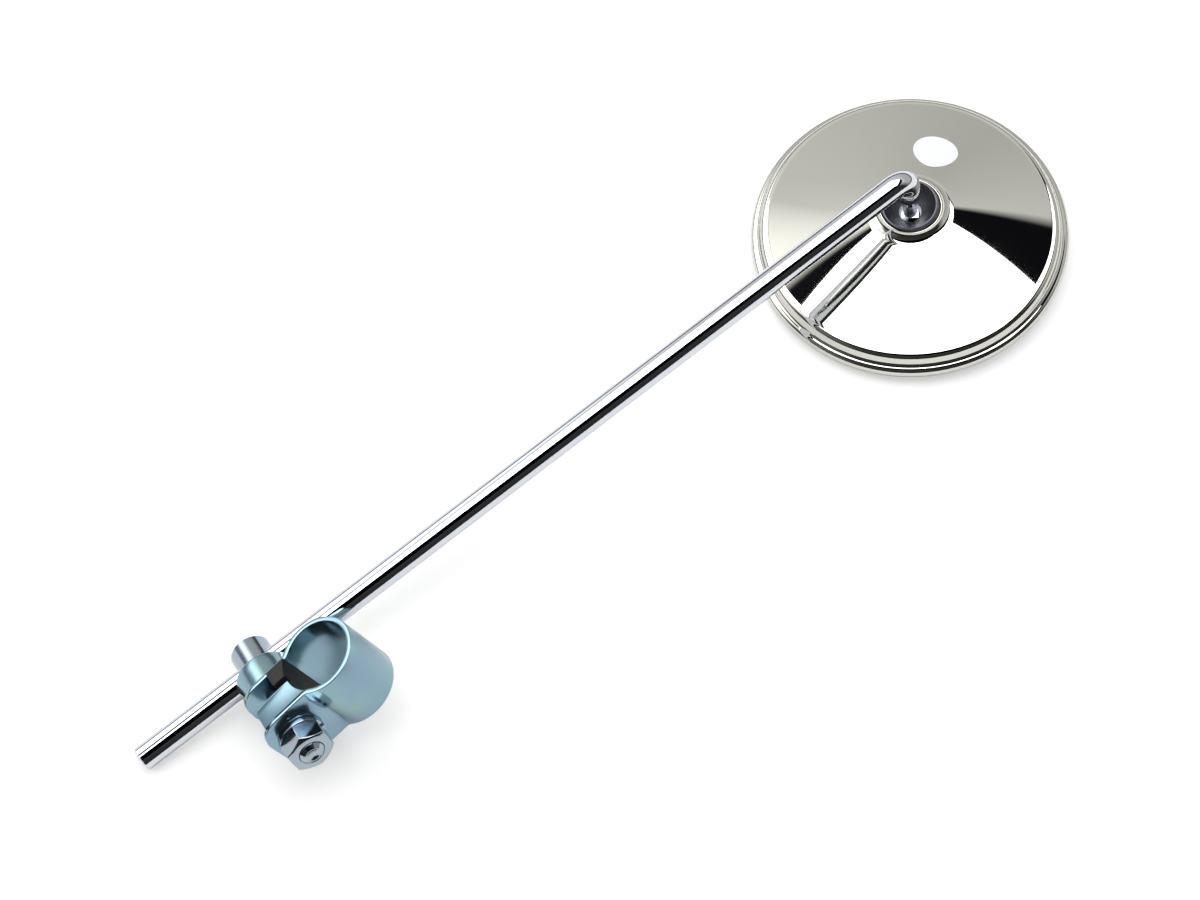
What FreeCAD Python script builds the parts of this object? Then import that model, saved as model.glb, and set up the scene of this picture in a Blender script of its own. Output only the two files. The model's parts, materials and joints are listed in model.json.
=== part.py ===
import FreeCAD, Part
import math
import os

import Sketcher

# Round clamp-on mirror for a two-wheeler, in millimetres.
# Frame: origin at the middle of the handlebar bore, X along the bar, Y along the eye bolt
# towards its nut, Z up. The arm stands up from the clamp and carries the round head.

SIZES = [
    # Clamp strap, folded from one strip of sheet
    ("bar_dia", "22"),
    ("strap_thick", "1.6"),
    ("strap_width", "23"),
    ("lug_gap", "14.4"),
    ("bolt_drop", "20"),
    ("lug_tail", "8.5"),
    ("lug_corner", "7"),
    ("flange_reach", "8"),
    ("flange_tail", "5"),
    ("bar_clear", "0.4"),
    # Eye bolt, cup, spring washer and nut
    ("bolt_dia", "7.9"),
    ("bolt_hole", "8.1"),
    ("eye_dia", "13"),
    ("eye_below", "8.6"),
    ("eye_above", "9"),
    ("eye_edge", "0.8"),
    ("bolt_proud", "1.4"),
    ("bolt_edge", "1.2"),
    ("cup_dia", "18.6"),
    ("cup_wall", "1.8"),
    ("cup_floor", "2.2"),
    ("cup_notch", "1.0"),
    ("cup_edge", "0.7"),
    ("seat_gap", "0.05"),
    ("washer_dia", "14.6"),
    ("washer_thick", "2"),
    ("washer_split", "1.2"),
    ("nut_flats", "13"),
    ("nut_height", "6.5"),
    ("nut_bevel_dia", "12"),
    # Arm
    ("rod_dia", "8"),
    ("rod_fit", "0.06"),
    ("rod_offset", "23"),
    ("rod_tail", "45.4"),
    ("rod_rise", "254"),
    ("rod_edge", "0.6"),
    ("bend_radius", "6"),
    ("leg_straight", "1.8"),
    ("leg_taper", "2.6"),
    ("neck_dia", "5.2"),
    ("neck_length", "2.2"),
    ("ring_dia", "8.8"),
    ("ring_thick", "1.6"),
    ("stud_depth", "11"),
    # Ball joint
    ("ball_dia", "20"),
    ("ball_flat", "9.2"),
    ("ball_gap", "0.3"),
    ("ball_sink", "3"),
    ("seat_dia", "17"),
    ("seat_hole_dia", "8"),
    ("seat_floor", "0.8"),
    ("disc_hole_dia", "9"),
    ("disc_thick", "0.5"),
    ("disc_height", "0.8"),
    # Head
    ("head_dia", "105"),
    ("shell_thick", "0.9"),
    ("lip_wide", "5.9"),
    ("lip_thick", "0.8"),
    ("rim_step", "1.6"),
    ("rim_bead", "5.4"),
    ("rim_draft", "0.3"),
    ("bead_round", "3.1"),
    ("upper_bead", "3.4"),
    ("upper_step", "1.8"),
    ("upper_round", "2.2"),
    ("groove_wide", "0.9"),
    ("groove_deep", "0.35"),
    ("cone_rise", "9.6"),
    ("collar_dia", "27"),
    ("collar_rise", "2.6"),
    ("collar_round", "4"),
    ("glass_thick", "2.5"),
    ("gasket_wall", "1.2"),
    ("gasket_lip", "1.2"),
    ("gasket_front", "0.6"),
    ("pad_thick", "1.2"),
    ("bridge_thick", "0.8"),
    ("bridge_flat_dia", "20"),
    ("bridge_dia", "52"),
    ("bridge_flange", "4"),
    # Pose of the arm and head as they stand at rest, in degrees
    ("arm_lean_angle", "8.7"),
    ("arm_turn_angle", "20.9"),
    ("head_tilt_angle", "5.5"),
]

# Sizes that follow from the ones above
DERIVED = [
    ("bar_r", "=bar_dia / 2"),
    ("strap_outer_r", "=bar_r + strap_thick"),
    ("lug_inner", "=lug_gap / 2"),
    ("lug_outer", "=lug_inner + strap_thick"),
    ("lug_bottom", "=bolt_drop + lug_tail"),
    ("flange_bottom", "=bolt_drop + flange_tail"),
    ("cup_seat", "=lug_outer + seat_gap"),
    ("rod_r", "=rod_dia / 2"),
    ("rod_under", "=rod_offset - rod_r"),
    ("cup_height", "=rod_under - cup_seat + cup_notch"),
    ("nut_seat", "=cup_seat + washer_thick"),
    ("bolt_end", "=nut_seat + nut_height + bolt_proud"),
    ("nut_corner_r", "=nut_flats / sqrt(3)"),
    ("nut_bevel_base_r", "=nut_bevel_dia / 2 + nut_height * sqrt(3)"),
    ("ball_r", "=ball_dia / 2"),
    ("taper_start", "=bend_radius + leg_straight"),
    ("neck_start", "=taper_start + leg_taper"),
    ("ring_start", "=neck_start + neck_length"),
    ("ring_end", "=ring_start + ring_thick"),
    ("ball_reach", "=ring_end + ball_flat"),
    ("stud_r", "=neck_dia / 2"),
    ("stud_hole_r", "=stud_r + rod_fit"),
    # Section of the shell, outside wall from the rim to the collar
    ("rim_r", "=head_dia / 2"),
    ("lip_r", "=rim_r - lip_wide"),
    ("bead_r", "=rim_r - rim_step"),
    ("bead_top_r", "=bead_r - rim_draft"),
    ("upper_r", "=bead_top_r - upper_step"),
    ("upper_top", "=rim_bead + upper_bead"),
    ("groove_in_r", "=upper_r - groove_wide"),
    ("groove_top", "=upper_top - groove_deep"),
    ("cone_r", "=groove_in_r - groove_wide"),
    ("cone_foot", "=upper_top"),
    ("collar_r", "=collar_dia / 2"),
    ("cone_top", "=cone_foot + cone_rise"),
    ("collar_top", "=cone_top + collar_rise"),
    ("ball_height", "=collar_top - ball_sink"),
    ("seat_r", "=ball_r + ball_gap"),
    ("mouth_r", "=sqrt(seat_r * seat_r - ball_sink * ball_sink)"),
    ("mouth_out_r", "=mouth_r + shell_thick"),
    # Inside wall of the shell
    ("wall_in_r", "=upper_r - shell_thick"),
    ("wall_in_top", "=cone_foot - shell_thick"),
    ("cone_slope", "=cone_rise / (cone_r - collar_r)"),
    ("throat_r", "=seat_r + seat_gap"),
    ("throat_foot", "=wall_in_top + cone_slope * (wall_in_r - throat_r)"),
    # Gasket, glass and pad
    ("gasket_r", "=wall_in_r - seat_gap"),
    ("glass_r", "=gasket_r - gasket_wall"),
    ("glass_edge_r", "=glass_r - seat_gap"),
    ("gasket_lip_r", "=lip_r - gasket_lip"),
    ("glass_front", "=lip_thick + gasket_front"),
    ("glass_back", "=glass_front + glass_thick"),
    ("gasket_top", "=glass_back + pad_thick"),
    # Seat under the ball, disc spring and bridge
    ("seat_hole_r", "=seat_hole_dia / 2"),
    ("seat_hole_top", "=ball_height - sqrt(seat_r * seat_r - seat_hole_r * seat_hole_r)"),
    ("seat_out_r", "=seat_dia / 2"),
    ("seat_out_top", "=ball_height - sqrt(seat_r * seat_r - seat_out_r * seat_out_r)"),
    ("seat_base", "=seat_hole_top - seat_floor"),
    ("disc_in_r", "=disc_hole_dia / 2"),
    ("disc_out_r", "=seat_out_r"),
    ("disc_top", "=seat_base"),
    ("disc_low_top", "=disc_top - disc_height"),
    ("disc_in_foot", "=disc_top - disc_thick"),
    ("disc_foot", "=disc_low_top - disc_thick"),
    ("bridge_top", "=disc_foot"),
    ("bridge_foot", "=bridge_top - bridge_thick"),
    ("bridge_flat_r", "=bridge_flat_dia / 2"),
    ("bridge_r", "=bridge_dia / 2"),
    ("flange_r", "=bridge_r - bridge_flange"),
    ("bridge_edge", "=wall_in_top + cone_slope * (wall_in_r - bridge_r) - seat_gap"),
    ("flange_edge", "=wall_in_top + cone_slope * (wall_in_r - flange_r) - seat_gap"),
    ("bridge_edge_low", "=bridge_edge - bridge_thick"),
    ("flange_edge_low", "=flange_edge - bridge_thick"),
]

doc = FreeCAD.newDocument("ClampMirror")
sheet = doc.addObject("Spreadsheet::Sheet", "Sizes")
for row, (alias, text) in enumerate(SIZES + DERIVED, start=1):
    sheet.set("A%d" % row, alias)
    sheet.set("B%d" % row, text)
    sheet.setAlias("B%d" % row, alias)
doc.recompute()

X_AXIS = FreeCAD.Vector(1, 0, 0)
Y_AXIS = FreeCAD.Vector(0, 1, 0)
Z_AXIS = FreeCAD.Vector(0, 0, 1)
NO_TURN = FreeCAD.Rotation()
SAME_PLACE = 0.01  # two lengths closer than this are taken as equal
NODES = []


def size(alias):
    """Value of a named size in the sheet."""
    return float(getattr(sheet, alias))


def bind(obj, **formulas):
    """Tie properties of an object to formulas over the sheet."""
    for prop, formula in formulas.items():
        obj.setExpression(prop, formula)
    return obj


def cell(alias):
    return "Sizes." + alias


def node(obj, label, placement):
    """Name a finished sub-part and put it in its place."""
    obj.Label = label
    obj.Placement = placement
    NODES.append(obj)
    return obj


def cylinder(name, radius, height, base, turn=NO_TURN):
    """Round bar of a bound radius and height, its foot at base."""
    bar = doc.addObject("Part::Cylinder", name)
    bind(bar, Radius=radius, Height=height)
    bar.Placement = FreeCAD.Placement(base, turn)
    return bar


def cone(name, radius_foot, radius_top, height, base, turn=NO_TURN):
    """Tapered bar of bound radii and height."""
    taper = doc.addObject("Part::Cone", name)
    bind(taper, Radius1=radius_foot, Radius2=radius_top, Height=height)
    taper.Placement = FreeCAD.Placement(base, turn)
    return taper


def block(name, length, width, height, corner):
    """Box of bound sides, its lowest corner at corner."""
    box = doc.addObject("Part::Box", name)
    bind(box, Length=length, Width=width, Height=height)
    box.Placement.Base = corner
    return box


def cut(name, base, tool):
    result = doc.addObject("Part::Cut", name)
    result.Base = base
    result.Tool = tool
    return result


def common(name, base, tool):
    result = doc.addObject("Part::Common", name)
    result.Base = base
    result.Tool = tool
    return result


def fuse(name, *pieces):
    result = doc.addObject("Part::MultiFuse", name)
    result.Shapes = list(pieces)
    result.Refine = True
    return result


def rounded(name, base, wanted, radius):
    """Round the edges of base that the test picks out."""
    doc.recompute()
    fillet = doc.addObject("Part::Fillet", name)
    fillet.Base = base
    chosen = [i for i, edge in enumerate(base.Shape.Edges, start=1) if wanted(edge)]
    fillet.Edges = [(i, radius, radius) for i in chosen]
    return fillet


def arc_centre(start, end, radius, side):
    """Centre of an arc from start to end, on the left (+1) or right (-1) of that run."""
    half = math.dist(start, end) / 2
    lift = side * math.sqrt(radius ** 2 - half ** 2) / (2 * half)
    dx = end[0] - start[0]
    dy = end[1] - start[1]
    return FreeCAD.Vector((start[0] + end[0]) / 2 - dy * lift, (start[1] + end[1]) / 2 + dx * lift, 0)


def turned(name, path):
    """Body turned about Z from a closed section.

    Each corner is (radius, height), named sizes, with None for the axis or the zero line. A third
    and fourth entry make the run to the next corner an arc: its radius and the side of its centre.
    """
    body = doc.addObject("PartDesign::Body", name)
    plane = next(f for f in body.Origin.OriginFeatures if f.Role == "XZ_Plane")
    sketch = body.newObject("Sketcher::SketchObject", name + "_section")
    sketch.AttachmentSupport = [(plane, "")]
    sketch.MapMode = "FlatFace"
    corners = [tuple(size(a) if a else 0.0 for a in corner[:2]) for corner in path]
    ends = []
    for i, corner in enumerate(path):
        start = corners[i]
        end = corners[(i + 1) % len(path)]
        if len(corner) == 2:
            segment = Part.LineSegment(FreeCAD.Vector(*start, 0), FreeCAD.Vector(*end, 0))
            geo = sketch.addGeometry(segment)
            ends.append((geo, 1, 2))
            continue
        centre = arc_centre(start, end, size(corner[2]), corner[3])
        circle = Part.Circle(centre, Z_AXIS, size(corner[2]))
        first, last = (start, end) if corner[3] > 0 else (end, start)
        angles = [math.atan2(p[1] - centre.y, p[0] - centre.x) for p in (first, last)]
        geo = sketch.addGeometry(Part.ArcOfCircle(circle, *angles))
        ends.append((geo, 1, 2) if corner[3] > 0 else (geo, 2, 1))
        index = sketch.addConstraint(Sketcher.Constraint("Radius", geo, size(corner[2])))
        sketch.setExpression("Constraints[%d]" % index, cell(corner[2]))
    for i, corner in enumerate(path):
        geo, head, _ = ends[i]
        previous, _, tail = ends[i - 1]
        sketch.addConstraint(Sketcher.Constraint("Coincident", previous, tail, geo, head))
        for kind, alias, value, line in (("DistanceX", corner[0], corners[i][0], -2),
                                         ("DistanceY", corner[1], corners[i][1], -1)):
            if alias is None:
                sketch.addConstraint(Sketcher.Constraint("PointOnObject", geo, head, line))
                continue
            index = sketch.addConstraint(Sketcher.Constraint(kind, -1, 1, geo, head, value))
            sketch.setExpression("Constraints[%d]" % index, cell(alias))
    turn = body.newObject("PartDesign::Revolution", name + "_turn")
    turn.Profile = sketch
    turn.ReferenceAxis = (sketch, ["V_Axis"])
    turn.Angle = 360
    return body


# Places: the bolt lies along Y, the arm leans about it and turns about its own length
BOLT_LEVEL = FreeCAD.Vector(0, 0, -size("bolt_drop"))
LEAN = FreeCAD.Rotation(Y_AXIS, -size("arm_lean_angle"))
ALONG_Y = FreeCAD.Rotation(X_AXIS, -90)
ALONG_X = FreeCAD.Rotation(Y_AXIS, 90)
STRAP_PLACE = FreeCAD.Placement()
BOLT_PLACE = FreeCAD.Placement(BOLT_LEVEL, LEAN * ALONG_Y)
ARM_PLACE = FreeCAD.Placement(BOLT_LEVEL - Y_AXIS * size("rod_offset"),
                              LEAN * FreeCAD.Rotation(Z_AXIS, size("arm_turn_angle")))
BALL_CENTRE = FreeCAD.Vector(-size("ball_reach"), 0, size("rod_rise"))
BALL_PLACE = ARM_PLACE * FreeCAD.Placement(BALL_CENTRE, ALONG_X)
HEAD_PLACE = (ARM_PLACE
              * FreeCAD.Placement(BALL_CENTRE, FreeCAD.Rotation(Y_AXIS, 90 - size("head_tilt_angle")))
              * FreeCAD.Placement(-Z_AXIS * size("ball_height"), NO_TURN))


def clamp_strap():
    """Strip folded round the bar into two lugs, with two side flanges on the nut's lug."""
    half = size("strap_width") / 2
    left = FreeCAD.Vector(-half, 0, 0)
    width = cell("strap_width")
    ring = cylinder("strap_ring", cell("strap_outer_r"), width, left, ALONG_X)
    near_lug = block("nut_lug", width, cell("strap_thick"), cell("lug_bottom"),
                     FreeCAD.Vector(-half, size("lug_inner"), -size("lug_bottom")))
    far_lug = block("arm_lug", width, cell("strap_thick"), cell("lug_bottom"),
                    FreeCAD.Vector(-half, -size("lug_outer"), -size("lug_bottom")))
    whole = fuse("strap_whole", ring, near_lug, far_lug)
    bar = cylinder("strap_bar", cell("bar_r"), width, left, ALONG_X)
    open_bore = cut("strap_bore", whole, bar)
    gap = block("strap_gap", width, cell("lug_gap"), cell("lug_bottom"),
                FreeCAD.Vector(-half, -size("lug_inner"), -size("lug_bottom")))
    folded = cut("strap_folded", open_bore, gap)
    flanges = []
    for side, start in (("front", half - size("strap_thick")), ("back", -half)):
        corner = FreeCAD.Vector(start, size("lug_inner") - size("flange_reach"), -size("flange_bottom"))
        flanges.append(block(side + "_flange", cell("strap_thick"), cell("flange_reach"),
                             cell("flange_bottom"), corner))
    pair = fuse("flange_pair", *flanges)
    clear_bar = cylinder("flange_bar", cell("bar_r") + " + " + cell("bar_clear"), width, left, ALONG_X)
    hollowed = cut("flange_hollow", pair, clear_bar)
    joined = fuse("strap_joined", folded, hollowed)
    hole_start = FreeCAD.Vector(0, -size("lug_outer"), -size("bolt_drop"))
    hole = cylinder("bolt_bore", cell("bolt_hole") + " / 2", "2 * " + cell("lug_outer"),
                    hole_start, ALONG_Y)
    drilled = cut("strap_drilled", joined, hole)

    def lug_corner(edge):
        mid = edge.CenterOfMass
        low = abs(mid.z + size("lug_bottom")) < SAME_PLACE
        side = abs(abs(mid.x) - half) < SAME_PLACE
        return low and side and abs(edge.Length - size("strap_thick")) < SAME_PLACE

    strap = rounded("strap_rounded", drilled, lug_corner, size("lug_corner"))
    node(strap, "clamp_strap", STRAP_PLACE)


def eye_bolt():
    """Bolt with a plain round head that is cross-drilled for the arm."""
    far_end = size("rod_offset") + size("eye_above")
    eye_length = cell("eye_above") + " + " + cell("eye_below")
    eye = cylinder("eye_blank", cell("eye_dia") + " / 2", eye_length, FreeCAD.Vector(0, 0, -far_end))
    doc.recompute()
    eye_soft = doc.addObject("Part::Chamfer", "eye_bevelled")
    eye_soft.Base = eye
    rims = [i for i, edge in enumerate(eye.Shape.Edges, start=1) if len(edge.Vertexes) == 1]
    eye_soft.Edges = [(i, size("eye_edge"), size("eye_edge")) for i in rims]
    neck = size("rod_offset") - size("eye_below")
    shank_length = "%s - %s + %s" % (cell("rod_offset"), cell("eye_below"), cell("bolt_end"))
    shank = cylinder("shank_blank", cell("bolt_dia") + " / 2", shank_length, FreeCAD.Vector(0, 0, -neck))
    doc.recompute()
    shank_soft = doc.addObject("Part::Chamfer", "shank_bevelled")
    shank_soft.Base = shank
    tip = [i for i, edge in enumerate(shank.Shape.Edges, start=1)
           if len(edge.Vertexes) == 1 and edge.CenterOfMass.z > 0]
    shank_soft.Edges = [(i, size("bolt_edge"), size("bolt_edge")) for i in tip]
    blank = fuse("bolt_blank", eye_soft, shank_soft)
    across = FreeCAD.Vector(0, size("eye_dia"), -size("rod_offset"))
    hole = cylinder("eye_hole", "%s + %s" % (cell("rod_r"), cell("rod_fit")), "2 * " + cell("eye_dia"),
                    across, FreeCAD.Rotation(X_AXIS, 90))
    bolt = cut("bolt_drilled", blank, hole)
    node(bolt, "eye_bolt", BOLT_PLACE)


def rod_cup():
    """Cup round the bolt's head; the arm lies in two notches of its rim."""
    foot = FreeCAD.Vector(0, 0, -size("cup_seat"))
    over = FreeCAD.Rotation(X_AXIS, 180)
    outside = cylinder("cup_blank", cell("cup_dia") + " / 2", cell("cup_height"), foot, over)
    doc.recompute()
    soft = doc.addObject("Part::Fillet", "cup_soft")
    soft.Base = outside
    top = [i for i, edge in enumerate(outside.Shape.Edges, start=1)
           if len(edge.Vertexes) == 1 and edge.CenterOfMass.z < foot.z - 1]
    soft.Edges = [(i, size("cup_edge"), size("cup_edge")) for i in top]
    inside = cylinder("cup_inside", "%s / 2 - %s" % (cell("cup_dia"), cell("cup_wall")),
                      cell("cup_height"), foot - Z_AXIS * size("cup_floor"), over)
    hollow = cut("cup_hollow", soft, inside)
    hole = cylinder("cup_hole", cell("bolt_hole") + " / 2", cell("cup_height"), foot, over)
    drilled = cut("cup_drilled", hollow, hole)
    across = FreeCAD.Vector(0, size("cup_dia"), -size("rod_offset"))
    rod = cylinder("cup_rod", "%s + %s" % (cell("rod_r"), cell("rod_fit")), "2 * " + cell("cup_dia"),
                   across, FreeCAD.Rotation(X_AXIS, 90))
    notched = cut("cup_notched", drilled, rod)
    node(notched, "rod_cup", BOLT_PLACE)


def spring_washer():
    """Split ring under the nut."""
    foot = FreeCAD.Vector(0, 0, size("cup_seat"))
    outside = cylinder("washer_blank", cell("washer_dia") + " / 2", cell("washer_thick"), foot)
    hole = cylinder("washer_hole", cell("bolt_hole") + " / 2", cell("washer_thick"), foot)
    ring = cut("washer_ring", outside, hole)
    split = block("washer_gap", cell("washer_dia"), cell("washer_split"), cell("washer_thick"),
                  foot - Y_AXIS * size("washer_split") / 2)
    washer = cut("washer_split_ring", ring, split)
    node(washer, "spring_washer", BOLT_PLACE)


def hex_nut():
    """Six-sided nut, bevelled on its outer face."""
    foot = FreeCAD.Vector(0, 0, size("nut_seat"))
    prism = doc.addObject("Part::Prism", "nut_blank")
    prism.Polygon = 6
    bind(prism, Circumradius=cell("nut_corner_r"), Height=cell("nut_height"))
    prism.Placement.Base = foot
    bevel = cone("nut_bevel", cell("nut_bevel_base_r"), cell("nut_bevel_dia") + " / 2",
                 cell("nut_height"), foot)
    bevelled = common("nut_bevelled", prism, bevel)
    hole = cylinder("nut_hole", cell("bolt_hole") + " / 2", cell("nut_height"), foot)
    nut = cut("nut_tapped", bevelled, hole)
    node(nut, "hex_nut", BOLT_PLACE)


def mirror_arm():
    """Round bar bent over at its top, with a tapered leg, a ring and a stud for the ball."""
    radius = cell("rod_r")
    tail = FreeCAD.Vector(0, 0, -size("rod_tail"))
    straight = "%s + %s - %s" % (cell("rod_tail"), cell("rod_rise"), cell("bend_radius"))
    rod = cylinder("rod_blank", radius, straight, tail)
    doc.recompute()
    rod_soft = doc.addObject("Part::Chamfer", "rod_bevelled")
    rod_soft.Base = rod
    foot = [i for i, edge in enumerate(rod.Shape.Edges, start=1)
            if len(edge.Vertexes) == 1 and edge.CenterOfMass.z < 0]
    rod_soft.Edges = [(i, size("rod_edge"), size("rod_edge")) for i in foot]
    bend = doc.addObject("Part::Torus", "rod_bend")
    bind(bend, Radius1=cell("bend_radius"), Radius2=radius)
    bend.Angle3 = 90
    bend_centre = FreeCAD.Vector(-size("bend_radius"), 0, size("rod_rise") - size("bend_radius"))
    bend.Placement = FreeCAD.Placement(bend_centre, FreeCAD.Rotation(X_AXIS, 90))
    down = FreeCAD.Rotation(Y_AXIS, -90)

    def along(start):
        return FreeCAD.Vector(-size(start), 0, size("rod_rise"))

    leg = cylinder("leg", radius, cell("leg_straight"), along("bend_radius"), down)
    taper = cone("leg_cone", radius, cell("stud_r"), cell("leg_taper"), along("taper_start"), down)
    stud_length = "%s + %s + %s" % (cell("neck_length"), cell("ring_thick"), cell("stud_depth"))
    stud = cylinder("stud", cell("stud_r"), stud_length, along("neck_start"), down)
    ring = cylinder("ring", cell("ring_dia") + " / 2", cell("ring_thick"), along("ring_start"), down)
    arm = fuse("arm_whole", rod_soft, bend, leg, taper, stud, ring)
    node(arm, "mirror_arm", ARM_PLACE)


def pivot_ball():
    """Ball on the stud, flat under the ring."""
    ball = doc.addObject("Part::Sphere", "ball_blank")
    bind(ball, Radius=cell("ball_r"))
    top = cylinder("ball_top", cell("ball_r"), cell("ball_r"), FreeCAD.Vector(0, 0, size("ball_flat")))
    flat = cut("ball_flatted", ball, top)
    hole_foot = FreeCAD.Vector(0, 0, size("ball_flat") - size("stud_depth") - size("ball_gap"))
    hole = cylinder("ball_hole", cell("stud_hole_r"), "%s + %s" % (cell("stud_depth"), cell("ball_r")),
                    hole_foot)
    bored = cut("ball_bored", flat, hole)
    node(bored, "pivot_ball", BALL_PLACE)


def back_shell():
    """Spun shell: rolled rim, two beads, a groove, a cone and a flared collar for the ball."""
    shell = turned("shell_body", [
        ("lip_r", None),
        ("bead_r", None, "bead_round", 1),
        ("bead_top_r", "rim_bead", "upper_round", 1),
        ("upper_r", "upper_top"),
        ("groove_in_r", "groove_top"),
        ("cone_r", "cone_foot"),
        ("collar_r", "cone_top", "collar_round", -1),
        ("mouth_out_r", "collar_top"),
        ("mouth_r", "collar_top", "seat_r", -1),
        ("throat_r", "throat_foot"),
        ("wall_in_r", "wall_in_top"),
        ("wall_in_r", "lip_thick"),
        ("lip_r", "lip_thick"),
    ])
    node(shell, "back_shell", HEAD_PLACE)


def glass_set():
    """Rubber channel inside the rim, the flat glass in it and a soft pad behind the glass."""
    gasket = turned("gasket_body", [
        ("gasket_lip_r", "lip_thick"),
        ("gasket_r", "lip_thick"),
        ("gasket_r", "gasket_top"),
        ("glass_r", "gasket_top"),
        ("glass_r", "glass_front"),
        ("gasket_lip_r", "glass_front"),
    ])
    node(gasket, "glass_gasket", HEAD_PLACE)
    glass = turned("glass_body", [
        (None, "glass_front"),
        ("glass_edge_r", "glass_front"),
        ("glass_edge_r", "glass_back"),
        (None, "glass_back"),
    ])
    node(glass, "mirror_glass", HEAD_PLACE)
    pad = turned("pad_body", [
        (None, "glass_back"),
        ("glass_edge_r", "glass_back"),
        ("glass_edge_r", "gasket_top"),
        (None, "gasket_top"),
    ])
    node(pad, "backing_pad", HEAD_PLACE)


def ball_hold():
    """Seat under the ball, the disc spring that presses it and the bridge welded in the shell."""
    seat = turned("seat_body", [
        ("seat_hole_r", "seat_base"),
        ("seat_out_r", "seat_base"),
        ("seat_out_r", "seat_out_top", "seat_r", -1),
        ("seat_hole_r", "seat_hole_top"),
    ])
    node(seat, "ball_seat", HEAD_PLACE)
    spring = turned("spring_body", [
        ("disc_in_r", "disc_in_foot"),
        ("disc_out_r", "disc_foot"),
        ("disc_out_r", "disc_low_top"),
        ("disc_in_r", "disc_top"),
    ])
    node(spring, "disc_spring", HEAD_PLACE)
    bridge = turned("bridge_body", [
        (None, "bridge_foot"),
        ("bridge_flat_r", "bridge_foot"),
        ("flange_r", "flange_edge_low"),
        ("bridge_r", "bridge_edge_low"),
        ("bridge_r", "bridge_edge"),
        ("flange_r", "flange_edge"),
        ("bridge_flat_r", "bridge_top"),
        (None, "bridge_top"),
    ])
    node(bridge, "spring_bridge", HEAD_PLACE)


clamp_strap()
eye_bolt()
rod_cup()
spring_washer()
hex_nut()
mirror_arm()
pivot_ball()
back_shell()
glass_set()
ball_hold()
doc.recompute()

for obj in doc.Objects:
    if "Invalid" in obj.State or "Error" in obj.State:
        raise RuntimeError("%s did not build: %s" % (obj.Label, obj.State))
for obj in NODES:
    if obj.Shape.isNull() or not obj.Shape.isValid():
        raise RuntimeError("%s has no sound shape" % obj.Label)

os.makedirs("parts", exist_ok=True)
for obj in NODES:
    obj.Shape.exportStep(os.path.join("parts", obj.Label + ".step"))
    print(obj.Label, round(obj.Shape.Volume, 1), len(obj.Shape.Solids))
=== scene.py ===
"""Surfaces, finishes and studio of a round clamp-on mirror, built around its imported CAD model."""

import json
import math

import bmesh
import bpy
import numpy as np
from bpy.props import FloatProperty, FloatVectorProperty, PointerProperty, StringProperty
from mathutils import Matrix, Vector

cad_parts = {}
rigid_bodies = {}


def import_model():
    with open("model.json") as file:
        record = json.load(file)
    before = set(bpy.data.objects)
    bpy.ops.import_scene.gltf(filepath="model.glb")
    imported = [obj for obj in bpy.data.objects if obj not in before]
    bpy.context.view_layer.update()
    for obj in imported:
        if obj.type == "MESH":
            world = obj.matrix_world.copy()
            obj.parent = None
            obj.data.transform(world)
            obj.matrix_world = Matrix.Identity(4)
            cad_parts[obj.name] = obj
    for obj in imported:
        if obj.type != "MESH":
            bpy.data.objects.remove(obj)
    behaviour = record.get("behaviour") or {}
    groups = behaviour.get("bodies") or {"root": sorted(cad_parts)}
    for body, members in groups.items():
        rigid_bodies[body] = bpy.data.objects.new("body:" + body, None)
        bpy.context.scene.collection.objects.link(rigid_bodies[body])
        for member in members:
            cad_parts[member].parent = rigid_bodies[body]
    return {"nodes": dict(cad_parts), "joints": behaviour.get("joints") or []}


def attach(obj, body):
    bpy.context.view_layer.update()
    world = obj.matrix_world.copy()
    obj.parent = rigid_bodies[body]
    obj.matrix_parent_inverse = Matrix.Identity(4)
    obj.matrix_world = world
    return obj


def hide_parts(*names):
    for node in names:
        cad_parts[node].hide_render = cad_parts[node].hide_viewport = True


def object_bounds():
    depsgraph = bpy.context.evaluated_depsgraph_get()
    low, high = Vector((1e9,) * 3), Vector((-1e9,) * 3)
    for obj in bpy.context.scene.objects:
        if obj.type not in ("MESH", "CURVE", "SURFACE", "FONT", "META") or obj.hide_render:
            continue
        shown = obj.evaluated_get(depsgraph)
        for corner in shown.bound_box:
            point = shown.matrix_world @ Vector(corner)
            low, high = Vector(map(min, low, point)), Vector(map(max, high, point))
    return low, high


bl_info = {
    "name": "Clamp-on mirror",
    "version": (1, 0, 0),
    "blender": (4, 5, 0),
    "location": "View3D > Sidebar > Mirror",
    "description": "Builds the visible surfaces of a round handlebar mirror",
    "category": "Object",
}

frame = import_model()
LOADED_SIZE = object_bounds()
MM = 0.001
STEPS_ROUND = 192
STEPS_CURVE = 40
STEPS_ARC = 28
EDGE_ANGLE = math.radians(32)
MERGE_DISTANCE = 0.002 * MM

# Small bevels, and the roundings of the rim's section from the lip upwards
SHEET_EDGE, SHELL_BEVEL, BOLT_BEVEL, NUT_BEVEL = 0.25 * MM, 0.12 * MM, 0.2 * MM, 0.25 * MM
BEAD_LOW_ROUND, BEAD_ROUND, FILLET_ROUND, STEP_ROUND = 2.6 * MM, 2.1 * MM, 1.8 * MM, 2.5 * MM
# Arm's leg: the taper's easings and their changes of radius, the ring's upper edge, the stud in the ball
TAPER_EASE, TAPER_IN, TAPER_OUT = 0.4 * MM, 0.3 * MM, 0.25 * MM
RING_SLOPE, RING_RIM, RING_EDGE, STUD_REACH = 0.45 * MM, 0.75 * MM, 0.35 * MM, 2 * MM
# Lip round the ball's dish, and half the depth of the rings on the bolt's end
DISH_LIP, TOOL_DEPTH = 0.5 * MM, 0.07 * MM
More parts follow.
